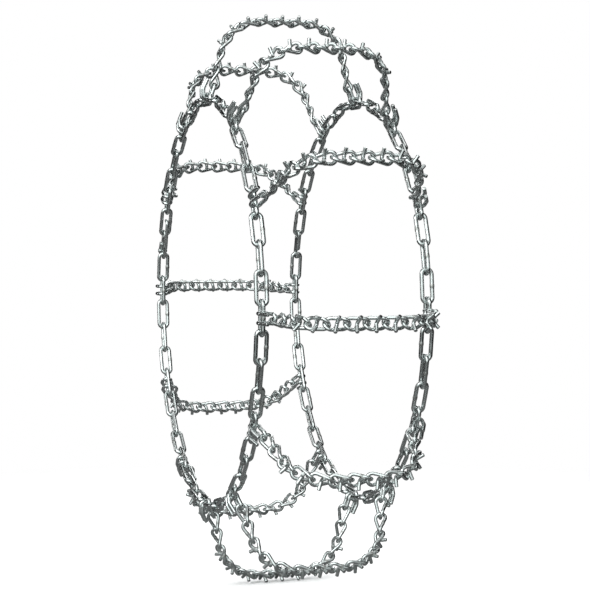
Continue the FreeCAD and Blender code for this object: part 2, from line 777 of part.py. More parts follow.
def make_nodes(doc, at):
    """Every node of the chain, by name."""
    hoop = Hoop(at)
    cross_line = CrossLine(at, hoop)
    nodes = {}
    for kind, members in cross_chain_groups(doc, at, cross_line).items():
        for number in range(int(at.cross_chains)):
            angle = at.first_cross_angle + number * 360 / at.cross_chains
            name = f"cross_chain_{number + 1:02d}_{kind}"
            turned = Placement(Vector(), Rotation(Vector(0, -1, 0), angle))
            nodes[name] = copy_of(doc, members, name, turned)

    side_link = make_side_link(doc, at)
    fastener = int(at.fastener_bay * at.bay_pitches + at.bay_pitches / 2)
    end_link = fastener + 1
    bays_per_node = 2
    per_node = int(at.bay_pitches) * bays_per_node
    for side, offset in (("outer", -cross_line.side_offset), ("inner", cross_line.side_offset)):
        for number in range(hoop.pitches // per_node):
            name = f"{side}_side_chain_{number + 1}"
            indices = range(number * per_node, (number + 1) * per_node)
            places = [hoop.link(i, offset) for i in indices if i not in (fastener, end_link)]
            nodes[name] = copies_of(doc, side_link, name, places)
        name = f"{side}_end_link"
        nodes[name] = copy_of(doc, side_link, name, hoop.link(end_link, offset))

    outer = hoop.link(fastener, -cross_line.side_offset)
    for make in (make_fastener_body, make_fastener_pin, make_fastener_lever):
        piece = make(doc, at)
        piece.Placement = outer
        nodes[piece.Label] = piece
    inner_hook = make_inner_hook(doc, at)
    inner_hook.Placement = hoop.link(fastener, cross_line.side_offset)
    nodes[inner_hook.Label] = inner_hook

    print(f"side chains at {cross_line.side_offset:.2f}, radius {hoop.link_radius:.2f}")
    print(f"hooked wire at {hoop.hooked_wire:.2f}, flat {cross_line.flat:.2f}")
    return nodes


def check(doc, nodes):
    """Stops if any object failed, or if any node's shape is empty or not valid."""
    for item in doc.Objects:
        if {"Invalid", "Error"} & set(item.State):
            raise RuntimeError(f"{item.Name} is {item.State}")
    for name, node in nodes.items():
        shape = Part.getShape(node)
        if shape.isNull() or not shape.isValid() or not shape.Solids:
            raise RuntimeError(f"{name} has no valid solid")


def main():
    doc = FreeCAD.newDocument("snow_chain")
    at = Sizes(make_sheet(doc))
    nodes = make_nodes(doc, at)
    doc.recompute()
    check(doc, nodes)
    os.makedirs("parts", exist_ok=True)
    for name, node in nodes.items():
        Part.getShape(node).exportStep(os.path.join("parts", name + ".step"))
    print(len(nodes), "nodes")


main()
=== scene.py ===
"""The look of the fitted tyre snow chain: links, welded V-bars, curled hooks and the lever fastener."""
import json
import math

import bmesh
import bpy
import numpy as np
from mathutils import Euler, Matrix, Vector, noise


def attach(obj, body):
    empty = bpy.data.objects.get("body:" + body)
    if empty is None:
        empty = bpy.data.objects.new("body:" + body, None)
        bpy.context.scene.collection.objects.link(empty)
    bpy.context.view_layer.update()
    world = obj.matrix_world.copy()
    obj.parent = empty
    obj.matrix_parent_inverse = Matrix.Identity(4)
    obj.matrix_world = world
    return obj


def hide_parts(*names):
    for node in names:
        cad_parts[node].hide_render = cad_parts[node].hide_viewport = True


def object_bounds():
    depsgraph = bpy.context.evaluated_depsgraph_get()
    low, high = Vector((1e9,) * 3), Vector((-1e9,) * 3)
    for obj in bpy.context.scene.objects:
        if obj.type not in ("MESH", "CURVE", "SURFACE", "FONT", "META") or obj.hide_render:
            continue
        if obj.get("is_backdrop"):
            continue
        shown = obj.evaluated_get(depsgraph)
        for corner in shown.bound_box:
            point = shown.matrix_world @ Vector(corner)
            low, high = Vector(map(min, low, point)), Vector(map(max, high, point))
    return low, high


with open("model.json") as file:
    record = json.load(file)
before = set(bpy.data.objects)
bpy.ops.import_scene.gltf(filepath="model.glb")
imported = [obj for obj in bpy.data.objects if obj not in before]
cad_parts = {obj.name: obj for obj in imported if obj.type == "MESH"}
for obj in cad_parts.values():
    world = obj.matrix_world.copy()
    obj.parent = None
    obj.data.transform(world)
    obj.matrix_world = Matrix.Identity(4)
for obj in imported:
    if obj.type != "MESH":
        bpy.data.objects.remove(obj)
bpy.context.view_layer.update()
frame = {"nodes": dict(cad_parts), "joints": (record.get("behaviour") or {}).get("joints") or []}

MM = 0.001
# Corners nearer each other than this, in metres, are one.
SAME_PLACE = 1e-6

# How finely rods are drawn: points round a rod, millimetres along it, and points on a hook's round parts.
AROUND = 22
CROSS_STEP, SIDE_STEP, BAR_STEP, HOOK_STEP = 1.1, 1.25, 0.9, 1.1
CURL_POINTS, BOW_POINTS = 26, 24

# Sizes of the pieces that are rebuilt here, in millimetres and degrees, as in the CAD part.
CROSS_PITCH, CROSS_WIRE, CROSS_SLACK, CROSS_SPREAD, CROSS_TWIST = 33.0, 6.5, 1.0, 18.0, 94.0
SIDE_PITCH, SIDE_WIRE, SIDE_SLACK, SIDE_WIDTH = 50.5, 7.5, 0.3, 26.0
BAR_WIRE, BAR_LEG, BAR_HALF_ANGLE, BAR_BEND, BAR_RISE, BAR_SLANT = 6.5, 18.5, 45.0, 5.0, 1.2, 15.0
HOOK_WIRE, HOOK_SPREAD, HOOK_EYE, HOOK_RUN = 7.0, 16.0, 8.4, 9.0
HOOK_BEND, HOOK_TIP, TIP_LEAN, BOW_LEAN, BOW_RUN = 9.0, 18.0, 25.0, 20.0, 10.2

CHAINS = 12

# How uneven a rod is, in slow bends and small swells with a pattern of its own for every copy.
UNEVEN = 0.05
BEND_SCALE, BEND_SHARE = 0.045, 2.2
SWELL_SCALE, SWELL_SHARE = 0.16, 0.35
COPY_SHIFT = (3.1, 1.7, 2.3)
BAR_SQUASH, HOOK_SQUASH = 0.015, 0.02

# The weld on a link: the width and the place of its ridges of flash, and how far its mark reaches.
FLASH_WIDTH, FLASH_PLACE, MARK_REACH = 0.75, 0.55, 1.25

# How far from a link's inner end its neighbour has rubbed it bright.
RUBBED_REACH = 4.2

# The lump of weld metal under a V-bar's leg, its half widths and how uneven it is.
BEAD = (4.4, 4.0, 1.75)
BEAD_UNEVEN, BEAD_SCALE = 0.16, 1.9
BEAD_RINGS, BEAD_AROUND = 9, 14

# A ring inside the tyre's body, which tells the outer face of a cross chain from the inner one.
CORE_RADIUS = 440

# Edges that turn by more degrees than this are shaded as sharp.
SHARP_EDGE = 48

# Seeds that keep the copies apart.
SEEDS_PER_CHAIN, SIDE_SEED, SEEDS_PER_RUN = 40.0, 900, 20

# A slanting direction that settles which way round a link's axes point.
LEADING = (0.31, 0.87, 0.38)

SEED = 7
rng = np.random.default_rng(SEED)
noise.seed_set(SEED)


# ------------------------------------------------------------------ lines that rods follow


def vec(*xyz):
    return np.array(xyz, float)


def unit(v):
    return v / np.linalg.norm(v)


def units(rows):
    return rows / np.linalg.norm(rows, axis=1)[:, None]


def sample_line(a, b, step):
    count = max(2, int(math.ceil(np.linalg.norm(b - a) / step)))
    return [a + (b - a) * i / count for i in range(count)]


def sample_arc(start, along, end, step):
    """Points on the arc from start to end that sets off in the direction along, without the end itself."""
    chord = end - start
    side = np.cross(unit(np.cross(along, chord)), along)
    radius = chord.dot(chord) / (2 * chord.dot(side))
    centre = start + side * radius
    turn = 2 * math.atan2(np.linalg.norm(np.cross(along, unit(chord))), along.dot(unit(chord)))
    count = max(3, int(math.ceil(radius * turn / step)))
    angles = [turn * i / count for i in range(count)]
    return [centre - side * radius * math.cos(t) + along * radius * math.sin(t) for t in angles]


def swung(arm, angle):
    """A flat arm (x, y) swung to the left by an angle in radians."""
    return vec(
        arm[0] * math.cos(angle) - arm[1] * math.sin(angle),
        arm[0] * math.sin(angle) + arm[1] * math.cos(angle),
    )


def planar(start, heading, steps, step):
    """Points along a flat line of runs and left turns, as (x, y), with its end and last heading."""
    points, point = [], vec(*start)
    for part in steps:
        ahead = vec(math.cos(math.radians(heading)), math.sin(math.radians(heading)))
        if part[0] == "run":
            end = point + ahead * part[1]
            points += sample_line(point, end, step)
        else:
            radius, turn = part[1], math.radians(part[2])
            side = math.copysign(1, turn)
            centre = point + vec(-ahead[1], ahead[0]) * radius * side
            count = max(3, int(math.ceil(radius * abs(turn) / step)))
            arm = point - centre
            points += [centre + swung(arm, turn * i / count) for i in range(count)]
            end = centre + swung(arm, turn)
            heading += part[2]
        point = end
    return points, point, heading


def cross_link_line():
    """A closed line round a twisted link, and the slope of its straight sides."""
    side, end = CROSS_SPREAD / 2, (CROSS_PITCH + CROSS_WIRE + CROSS_SLACK) / 2
    roll = math.radians(CROSS_TWIST / 2)
    slope = math.atan(side * math.tan(roll) / end)
    meet = end - side * math.cos(slope) / math.cos(roll)
    rise = meet * math.tan(slope)
    points = []
    for sign in (1, -1):
        tip = vec(sign * end, 0, 0)
        across = vec(0, sign * math.cos(roll), math.sin(roll))
        here, there = vec(sign * meet, sign * side, rise), vec(sign * meet, -sign * side, -rise)
        to_tip = vec(sign * math.cos(slope), 0, -math.sin(slope))
        points += sample_arc(there, to_tip, tip, CROSS_STEP)
        points += sample_arc(tip, across, here, CROSS_STEP)
        points += sample_line(here, vec(-here[0], here[1], -here[2]), CROSS_STEP)
    return np.array(points), slope


def side_link_line():
    """A closed line round a straight oval link."""
    bend = (SIDE_WIDTH - SIDE_WIRE) / 2
    half = (SIDE_PITCH + SIDE_WIRE + SIDE_SLACK) / 2 - bend
    steps = [("run", 2 * half), ("turn", bend, 90), ("turn", bend, 90)] * 2
    points = planar((-half, -bend), 0, steps, SIDE_STEP)[0]
    return np.array([(x, y, 0) for x, y in points])


def v_bar_line():
    """A V in the YZ plane, the middle of its bend at the origin and its legs towards Z."""
    half = math.radians(BAR_HALF_ANGLE)
    trim = BAR_BEND / math.tan(half)
    corner = BAR_BEND / math.sin(half) - BAR_BEND
    reach = vec(math.sin(half), math.cos(half)) * BAR_LEG
    start = vec(-reach[0], reach[1] - corner)
    heading = -(90 - BAR_HALF_ANGLE)
    leg = ("run", BAR_LEG - trim)
    bend = ("turn", BAR_BEND, 180 - 2 * BAR_HALF_ANGLE)
    points, end, _ = planar(start, heading, [leg, bend, leg], BAR_STEP)
    return np.array([(0, y, z) for y, z in points + [end]])


def hook_line():
    """One rod from tip to tip: X away from the hub, Y towards the tyre, Z along the side link's wire."""
    tip_side = [("run", HOOK_RUN), ("turn", HOOK_BEND, TIP_LEAN), ("run", HOOK_TIP)]
    leg, end, _ = planar((0, -HOOK_EYE), 0, tip_side, HOOK_STEP)
    leg = (leg + [end])[::-1]
    curl = [
        vec(HOOK_EYE * math.cos(math.radians(a)), HOOK_EYE * math.sin(math.radians(a)))
        for a in np.linspace(-90, -270, CURL_POINTS)[1:-1]
    ]
    bow_side = [("turn", HOOK_BEND, BOW_LEAN), ("run", BOW_RUN)]
    back, end, heading = planar((0, HOOK_EYE), 0, bow_side, HOOK_STEP)
    half = HOOK_SPREAD / 2
    flat = leg + curl + back
    near = [vec(x, y, half) for x, y in flat]
    far = [vec(x, y, -half) for x, y in flat][::-1]
    lean = math.radians(heading)
    out = vec(math.cos(lean), math.sin(lean), 0)
    middle = vec(end[0], end[1], 0)
    turns = np.linspace(0, math.pi, BOW_POINTS)
    bow = [middle + out * half * math.sin(t) + vec(0, 0, half * math.cos(t)) for t in turns]
    return np.array(near + bow + far)


# ------------------------------------------------------------------ rods


class Rod:
    """A round rod along a line, with a radius that may change along it, ready to be placed many times."""

    def __init__(self, line, radius, closed):
        self.line, self.closed, self.around = line, closed, AROUND
        ahead = np.roll(line, -1, 0) - line
        behind = line - np.roll(line, 1, 0)
        if not closed:
            ahead[-1], behind[0] = behind[-1], ahead[0]
        self.tangent = units(units(ahead) + units(behind))
        self.travel = np.concatenate([[0], np.cumsum(np.linalg.norm(np.diff(line, axis=0), axis=1))])
        self.length = self.travel[-1] + (np.linalg.norm(line[0] - line[-1]) if closed else 0)
        self.side, self.up = self.frames()
        self.radius = np.full(len(line), radius, float)

    def frames(self):
        """Sides that turn as little as possible along the line, and meet again on a closed one."""
        t = self.tangent
        # Any direction will do that isn't along the line's start.
        lead = vec(0.3, 0.2, 0.93) if abs(t[0][2]) < 0.9 else vec(1, 0, 0)
        start = unit(np.cross(t[0], lead))
        sides = [start]
        count = len(t)
        for i in range(1, count + (1 if self.closed else 0)):
            now = t[i % count]
            side = sides[-1] - now * sides[-1].dot(now)
            sides.append(unit(side))
        sides = np.array(sides)
        if self.closed:
            last = sides[-1]
            miss = math.atan2(np.cross(last, start).dot(t[0]), last.dot(start))
            sides = sides[:-1]
            turn = miss * np.arange(count) / count
            up = np.cross(t, sides)
            sides = sides * np.cos(turn)[:, None] + up * np.sin(turn)[:, None]
        return sides, np.cross(t, sides)

    def surface(self, seed, squash=0.0):
        """Vertex places for one copy: small dents and bends make no two copies quite alike."""
        angles = np.linspace(0, 2 * math.pi, self.around, endpoint=False)
        cos = np.cos(angles) * (1 + squash)
        sin = np.sin(angles) * (1 - squash)
        shift = Vector([seed * share for share in COPY_SHIFT])
        rings = []
        for i, centre in enumerate(self.line):
            bend = noise.noise_vector(Vector(centre) * BEND_SCALE + shift) * UNEVEN * BEND_SHARE
            swell = 1 + noise.noise(Vector(centre) * SWELL_SCALE + shift) * UNEVEN * SWELL_SHARE
            ring = cos[:, None] * self.side[i] + sin[:, None] * self.up[i]
            rings.append(centre + vec(*bend) + self.radius[i] * swell * ring)
        return np.concatenate(rings)

    def faces(self):
        n, m = len(self.line), self.around
        quads = []
        for i in range(n if self.closed else n - 1):
            a, b = i * m, ((i + 1) % n) * m
            quads += [(a + k, a + (k + 1) % m, b + (k + 1) % m, b + k) for k in range(m)]
        if not self.closed:
            quads.append(tuple(range(m - 1, -1, -1)))
            quads.append(tuple((n - 1) * m + k for k in range(m)))
        return quads

    def cut_ends(self, chamfer, inset):
        """Square-cut ends with a small worn chamfer, as extra rings."""
        rings = [(-chamfer, 1.0), (0.0, 1.0 - inset * 0.55), (0.12 * chamfer, 1.0 - inset)]
        for end in (0, -1):
            outwards = self.tangent[end] * (-1 if end == 0 else 1)
            places = [self.line[end] + outwards * ahead for ahead, _ in rings]
            sizes = [self.radius[end] * share for _, share in rings]
            self.line = swap_end(self.line, np.array(places), end)
            self.radius = swap_end(self.radius, np.array(sizes), end)
            for name in ("tangent", "side", "up"):
                rows = getattr(self, name)
                setattr(self, name, swap_end(rows, np.repeat(rows[[end]], len(rings), 0), end))
        self.travel = np.concatenate([[0], np.cumsum(np.linalg.norm(np.diff(self.line, axis=0), axis=1))])
        return self


def swap_end(rows, new, end):
    """The last row replaced by the new rows, or for end 0 the first row by the new rows backwards."""
    if end == -1:
        return np.concatenate([rows[:-1], new])
    return np.concatenate([new[::-1], rows[1:]])


def swell_at(rod, place, height, half_length, flash):
    """Raises the rod round a butt weld: a low swell with a ridge of flash at each side of it.

    Gives back how much of the weld's mark each ring of the rod carries, from 0 to 1.
    """
    away = rod.travel - place
    if rod.closed:
        away = (away + rod.length / 2) % rod.length - rod.length / 2
    rod.radius += height * np.exp(-((away / half_length) ** 2))
    for side in (-1, 1):
        rod.radius += flash * np.exp(-(((away - side * half_length * FLASH_PLACE) / FLASH_WIDTH) ** 2))
    return np.exp(-((away / (half_length * MARK_REACH)) ** 4))


# ------------------------------------------------------------------ reading the CAD nodes


def islands(node):
    """(centre, axes) of each solid of a CAD node: centre of volume and principal axes, longest first."""
    mesh = frame["nodes"][node].data
    mesh.calc_loop_triangles()
    places = np.empty(len(mesh.vertices) * 3)
    mesh.vertices.foreach_get("co", places)
    places = places.reshape(-1, 3)
    triangles = np.empty(len(mesh.loop_triangles) * 3, np.int32)
    mesh.loop_triangles.foreach_get("vertices", triangles)
    same = np.unique(np.round(places / SAME_PLACE).astype(np.int64), axis=0, return_inverse=True)[1].ravel()
    corners = same[triangles.reshape(-1, 3)]
    labels = np.arange(same.max() + 1)
    while True:
        lowest = labels[corners].min(1)
        joined = labels.copy()
        for column in range(3):
            np.minimum.at(joined, corners[:, column], lowest)
        joined = joined[joined]
        if np.array_equal(joined, labels):
            break
        labels = joined
    owner = labels[corners[:, 0]]
    solid = places[triangles.reshape(-1, 3)] / MM
    return [moments(solid[owner == label]) for label in np.unique(owner)]


def moments(corners):
    """The centre of volume and the principal axes of a closed skin, from its triangles' corners."""
    base = corners.reshape(-1, 3).mean(0)
    a, b, c = (corners[:, i] - base for i in range(3))
    volumes = np.einsum("ij,ij->i", a, np.cross(b, c)) / 6
    total = volumes.sum()
    centre = ((a + b + c) * volumes[:, None]).sum(0) / 4 / total
    whole = a + b + c
    spread = sum(np.einsum("i,ij,ik->jk", volumes, p, p) for p in (a, b, c, whole)) / 20
    spread = spread / total - np.outer(centre, centre)
    values, axes = np.linalg.eigh(spread)
    return base + centre, axes[:, ::-1].T


def matrix(x, y, z, centre):
    """A 4x4 matrix from three axes and a centre."""
    place = np.eye(4)
    place[:3, 0], place[:3, 1], place[:3, 2], place[:3, 3] = x, y, z, centre
    return place


def link_places(node, outward=None):
    """A 4x4 matrix for each link: X along it, Y across it, and Z the way outward says, or either way."""
    places = []
    for centre, axes in islands(node):
        x, y = (axis * math.copysign(1, axis.dot(LEADING)) for axis in axes[:2])
        z = np.cross(x, y)
        if outward is not None and z.dot(outward(centre)) < 0:
            y, z = -y, -z
        places.append(matrix(x, y, z, centre))
    return places


def tube_outward(centre):
    """Away from the middle of the tyre's body, which the cross chains wrap."""
    return centre - unit(vec(centre[0], 0, centre[2])) * CORE_RADIUS


# ------------------------------------------------------------------ making objects


def put(points, place):
    """Points moved by a 4x4 matrix."""
    return points @ place[:3, :3].T + place[:3, 3]


def make_object(name, chunks, body, material):
    """One piece from chunks of (vertices in mm, faces, marks), with (weld, wear, cut) marks per vertex."""
    verts = np.concatenate([c[0] for c in chunks]) * MM
    faces, start = [], 0
    for points, quads, _ in chunks:
        faces += [tuple(i + start for i in q) for q in quads]
        start += len(points)
    mesh = bpy.data.meshes.new(name)
    mesh.from_pydata(verts.tolist(), [], faces)
    mesh.validate()
    marks = np.concatenate([c[2] for c in chunks]).astype(np.float32)
    for column, label in enumerate(("weld", "wear", "cut")):
        layer = mesh.attributes.new(label, "FLOAT", "POINT")
        layer.data.foreach_set("value", np.ascontiguousarray(marks[:, column]))
    mesh.polygons.foreach_set("use_smooth", [True] * len(mesh.polygons))
    mesh.set_sharp_from_angle(angle=math.radians(SHARP_EDGE))
    mesh.materials.append(material)
    piece = bpy.data.objects.new(name, mesh)
    bpy.context.scene.collection.objects.link(piece)
    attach(piece, body)
    return piece


def ring_marks(rod, weld=None, cut=None):
    """Marks for every vertex of a rod from values for every ring, with no wear yet."""
    zero = np.zeros(len(rod.line))
    columns = [zero if values is None else values for values in (weld, None, cut)]
    return np.repeat(np.stack(columns, 1), rod.around, 0)


def contact_wear(points, ends):
    """1 inside each end of a link, where its neighbour rubs, fading over a few millimetres."""
    wear = np.zeros(len(points))
    for end in ends:
        wear = np.maximum(wear, np.exp(-((np.linalg.norm(points - end, axis=1) / RUBBED_REACH) ** 4)))
    return wear


def end_marks(rod):
    """1 on the rings of a rod's two cut ends."""
    cut = np.zeros(len(rod.line))
    cut[[0, 1, -1, -2]] = 1.0
    return cut


def bead(seed, radii):
    """A lump of weld metal, centred on the origin."""
    rings, around = BEAD_RINGS, BEAD_AROUND
    points, faces = [vec(0, 0, radii[2])], []
    for i in range(1, rings):
        polar = math.pi * i / rings
        for k in range(around):
            turn = 2 * math.pi * k / around
            spot = vec(math.sin(polar) * math.cos(turn), math.sin(polar) * math.sin(turn), math.cos(polar))
            pattern = Vector(spot) * BEAD_SCALE + Vector((seed, -seed, seed * 0.5))
            bump = 1 + BEAD_UNEVEN * noise.noise(pattern)
            points.append(spot * vec(*radii) * bump)
    points.append(vec(0, 0, -radii[2]))
    last = len(points) - 1
    for k in range(around):
        faces.append((0, 1 + k, 1 + (k + 1) % around))
        base = 1 + (rings - 2) * around
        faces.append((last, base + (k + 1) % around, base + k))
    for i in range(rings - 2):
        a, b = 1 + i * around, 1 + (i + 1) * around
        faces += [(a + k, b + k, b + (k + 1) % around, a + (k + 1) % around) for k in range(around)]
    return np.array(points), faces


def nearest_points(p, d, q, e):
    """The points of two lines that are nearest each other, the lines given as a point and a direction."""
    n = np.cross(d, e)
    across = np.linalg.solve(np.stack([d, -e, n], 1), q - p)
    return p + d * across[0], q + e * across[1]


# ------------------------------------------------------------------ materials


# Scales of the plating's layers, from dull patches over grime down to drawing marks and weld ripple.
PATCHES, BLOTCHES, GRIME, DRAWN, RIPPLE, FINE = 38, 170, 95, 420, 800, 1500
TONE = (0.78, 0.82, 0.815)
WELD_TONE, RUBBED_TONE, CUT_TONE = (0.40, 0.385, 0.36), (0.86, 0.87, 0.86), (0.52, 0.53, 0.52)
DULL, DIRTY = 0.86, 0.34
GRAIN_DEPTH = 0.0003

# Blender's Mix node keeps its share, its two colours and its colour result in these sockets.
MIX_SHARE, MIX_FIRST, MIX_SECOND, MIX_RESULT = 0, 6, 7, 2


def shaded(tone, share):
    return tuple(c * share for c in tone)


def plated(name, tone, rough, grain, dirt):
    """Bright zinc plating on drawn wire: dulled in patches, rubbed where links touch, rough at the welds.

    rough is the gloss of clean plating, grain the depth of its marks and dirt how much grime it carries.
    """
    material = bpy.data.materials.new(name)
    material.use_nodes = True
    tree = material.node_tree
    nodes, wires = tree.nodes, tree.links
    shader = nodes["Principled BSDF"]
    shader.inputs["Metallic"].default_value = 1.0

    def node(kind, **values):
        made = nodes.new(kind)
        for key, value in values.items():
            if key in made.inputs:
                made.inputs[key].default_value = value
            else:
                setattr(made, key, value)
        return made

    where = node("ShaderNodeTexCoord").outputs["Object"]

    def speckle(scale, detail, roughness=0.55):
        made = node("ShaderNodeTexNoise", Scale=scale, Detail=detail, Roughness=roughness)
        wires.new(where, made.inputs["Vector"])
        return made.outputs["Fac"]

    def remap(value, low, high, to_low, to_high):
        made = node("ShaderNodeMapRange")
        made.clamp = True
        for index, number in enumerate((low, high, to_low, to_high), start=1):
            made.inputs[index].default_value = number
        wires.new(value, made.inputs[0])
        return made.outputs[0]

    def sums(operation, first, second):
        made = node("ShaderNodeMath", operation=operation)
        for index, value in enumerate((first, second)):
            if isinstance(value, (int, float)):
                made.inputs[index].default_value = value
            else:
                wires.new(value, made.inputs[index])
        return made.outputs[0]

    def mixed(share, first, second):
        made = node("ShaderNodeMix", data_type="RGBA")
        wires.new(share, made.inputs[MIX_SHARE])
        for index, value in ((MIX_FIRST, first), (MIX_SECOND, second)):
            if isinstance(value, tuple):
                made.inputs[index].default_value = (*value, 1)
            else:
                wires.new(value, made.inputs[index])
        return made.outputs[MIX_RESULT]

    def mark(label):
        return node("ShaderNodeAttribute", attribute_name=label).outputs["Fac"]

    weld, wear, cut = mark("weld"), mark("wear"), mark("cut")
    patches = remap(speckle(PATCHES, 3), 0.38, 0.66, 0, 1)
    blotch = remap(speckle(BLOTCHES, 4), 0.42, 0.62, 0, 1)
    fine = speckle(FINE, 3)
    grime = remap(speckle(GRIME, 5, 0.7), 0.56, 0.72, 0, dirt)

    dull = shaded(tone, DULL)
    colour = mixed(patches, tone, dull)
    colour = mixed(remap(blotch, 0, 1, 0, 0.35), colour, dull)
    colour = mixed(grime, colour, shaded(tone, DIRTY))
    colour = mixed(remap(weld, 0, 1, 0, 0.55), colour, WELD_TONE)
    colour = mixed(remap(wear, 0.1, 1, 0, 0.8), colour, RUBBED_TONE)
    colour = mixed(remap(cut, 0, 1, 0, 0.5), colour, CUT_TONE)
    wires.new(colour, shader.inputs["Base Color"])

    gloss = remap(patches, 0, 1, rough, rough + 0.14)
    gloss = sums("ADD", gloss, remap(blotch, 0, 1, 0, 0.07))
    gloss = sums("ADD", gloss, remap(grime, 0, 1, 0, 0.25))
    gloss = sums("ADD", gloss, remap(weld, 0, 1, 0, 0.16))
    gloss = sums("SUBTRACT", gloss, remap(wear, 0, 1, 0, 0.1))
    wires.new(gloss, shader.inputs["Roughness"])

    drawn = speckle(DRAWN, 4, 0.6)
    height = sums("ADD", remap(drawn, 0, 1, 0, 0.6), remap(fine, 0, 1, 0, 0.25))
    height = sums("ADD", height, sums("MULTIPLY", weld, remap(speckle(RIPPLE, 4, 0.7), 0, 1, 0, 2.2)))
    bump = node("ShaderNodeBump", Strength=grain, Distance=GRAIN_DEPTH)
    wires.new(height, bump.inputs["Height"])
    wires.new(bump.outputs["Normal"], shader.inputs["Normal"])
    return material


steel = {
    "cross_chain_steel": plated("cross_chain_plating", TONE, rough=0.20, grain=0.14, dirt=0.4),
    "v_bar_steel": plated("v_bar_plating", shaded(TONE, 0.97), rough=0.23, grain=0.18, dirt=0.45),
    "hook_steel": plated("hook_plating", TONE, rough=0.19, grain=0.14, dirt=0.35),
    "side_chain_steel": plated("side_chain_plating", TONE, rough=0.17, grain=0.12, dirt=0.35),
    "fastener_steel": plated("fastener_plating", shaded(TONE, 0.95), rough=0.25, grain=0.3, dirt=0.45),
}


# ------------------------------------------------------------------ cross chains

cross_line, cross_slope = cross_link_line()
cross_rod = Rod(cross_line, CROSS_WIRE / 2, closed=True)
side_middle = int(np.argmin(np.linalg.norm(cross_line - vec(0, CROSS_SPREAD / 2, 0), axis=1)))
cross_weld = swell_at(cross_rod, cross_rod.travel[side_middle], height=0.28, half_length=2.4, flash=0.16)
cross_faces = cross_rod.faces()
cross_inner = CROSS_PITCH / 2 + CROSS_SLACK / 2
cross_ends = (vec(cross_inner, 0, 0), vec(-cross_inner, 0, 0))

bar_rod = Rod(v_bar_line(), BAR_WIRE / 2, closed=False).cut_ends(chamfer=0.75, inset=0.16)
bar_faces = bar_rod.faces()
bar_marks = ring_marks(bar_rod, cut=end_marks(bar_rod))

hook_rod = Rod(hook_line(), HOOK_WIRE / 2, closed=False).cut_ends(chamfer=0.8, inset=0.15)
hook_faces = hook_rod.faces()
hook_marks = ring_marks(hook_rod, cut=end_marks(hook_rod))


def bar_on_link():
    """Where a V-bar sits on its link."""
    turn = math.radians(-BAR_SLANT)
    place = np.eye(4)
    place[:2, :2] = [[math.cos(turn), -math.sin(turn)], [math.sin(turn), math.cos(turn)]]
    place[2, 3] = BAR_RISE
    return place


def weld_spots():
    """Where a V-bar's two legs cross the sides of its link, as matrices with Z through both rods."""
    half = math.radians(BAR_HALF_ANGLE)
    seat = bar_on_link()
    corner = put(vec(0, 0, BAR_BEND - BAR_BEND / math.sin(half)), seat)
    spots = []
    for sign in (1, -1):
        leg = seat[:3, :3] @ vec(0, sign * math.sin(half), math.cos(half))
        wire = vec(math.cos(cross_slope), 0, sign * math.sin(cross_slope))
        on_wire, on_leg = nearest_points(vec(0, sign * CROSS_SPREAD / 2, 0), wire, corner, leg)
        z = unit(on_leg - on_wire)
        x = unit(leg - z * leg.dot(z))
        spots.append(matrix(x, np.cross(z, x), z, (on_wire + on_leg) / 2))
    return spots


joint_of = {joint["child"]: joint for joint in frame["joints"]}
outer_y = joint_of["lever"]["pos_m"][1] / MM
bar_seat = bar_on_link()
spots = weld_spots()


def add_piece(name, node, chunks, body, slot):
    piece = make_object(name, chunks, body, steel[slot])
    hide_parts(node)


def link_chunk(rod, faces, weld, ends, seed, turn_over, place):
    """One link, turned over by chance so that the welds don't all line up."""
    flip = np.diag(turn_over) if rng.random() < 0.5 else np.eye(4)
    points = rod.surface(seed)
    marks = ring_marks(rod, weld=weld)
    marks[:, 1] = contact_wear(points, ends)
    return put(points, place @ flip), faces, marks


def bead_chunk(seed, place):
    size = rng.uniform(0.92, 1.1)
    points, faces = bead(seed, tuple(radius * size for radius in BEAD))
    marks = np.zeros((len(points), 3))
    marks[:, 0] = 1.0
    return put(points, place), faces, marks


for number in range(1, CHAINS + 1):
    body = f"cross_chain_{number:02d}"
    seed = number * SEEDS_PER_CHAIN
    places = link_places(f"{body}_links", tube_outward)
    links = []
    for place in places:
        seed += 1
        turn_over = (-1.0, -1.0, 1.0, 1.0)
        links.append(link_chunk(cross_rod, cross_faces, cross_weld, cross_ends, seed, turn_over, place))

    bars = []
    for centre, _ in islands(f"{body}_v_bars"):
        seed += 1
        host = min(places, key=lambda place: np.linalg.norm(place[:3, 3] - centre))
        points = bar_rod.surface(seed, squash=BAR_SQUASH)
        bars.append((put(put(points, bar_seat), host), bar_faces, bar_marks))
        for spot in spots:
            seed += 1
            bars.append(bead_chunk(seed, host @ spot))

    pivot = vec(*joint_of[body]["pos_m"]) / MM
    away = unit(vec(pivot[0], 0, pivot[2]))
    hooks = []
    for side in (1, -1):
        seed += 1
        inwards = vec(0, side, 0)
        place = matrix(away, inwards, np.cross(away, inwards), pivot + outer_y * inwards)
        hooks.append((put(hook_rod.surface(seed, squash=HOOK_SQUASH), place), hook_faces, hook_marks))

    add_piece(f"{body}_link_set", f"{body}_links", links, body, "cross_chain_steel")
    add_piece(f"{body}_v_bar_set", f"{body}_v_bars", bars, body, "v_bar_steel")
    add_piece(f"{body}_hook_pair", f"{body}_hooks", hooks, body, "hook_steel")


# ------------------------------------------------------------------ side chains

side_line = side_link_line()
side_rod = Rod(side_line, SIDE_WIRE / 2, closed=True)
side_middle = int(np.argmin(np.linalg.norm(side_line - vec(0, -(SIDE_WIDTH - SIDE_WIRE) / 2, 0), axis=1)))
side_weld = swell_at(side_rod, side_rod.travel[side_middle], height=0.45, half_length=3.0, flash=0.22)
side_faces = side_rod.faces()
side_inner = SIDE_PITCH / 2
side_ends = (vec(side_inner, 0, 0), vec(-side_inner, 0, 0))

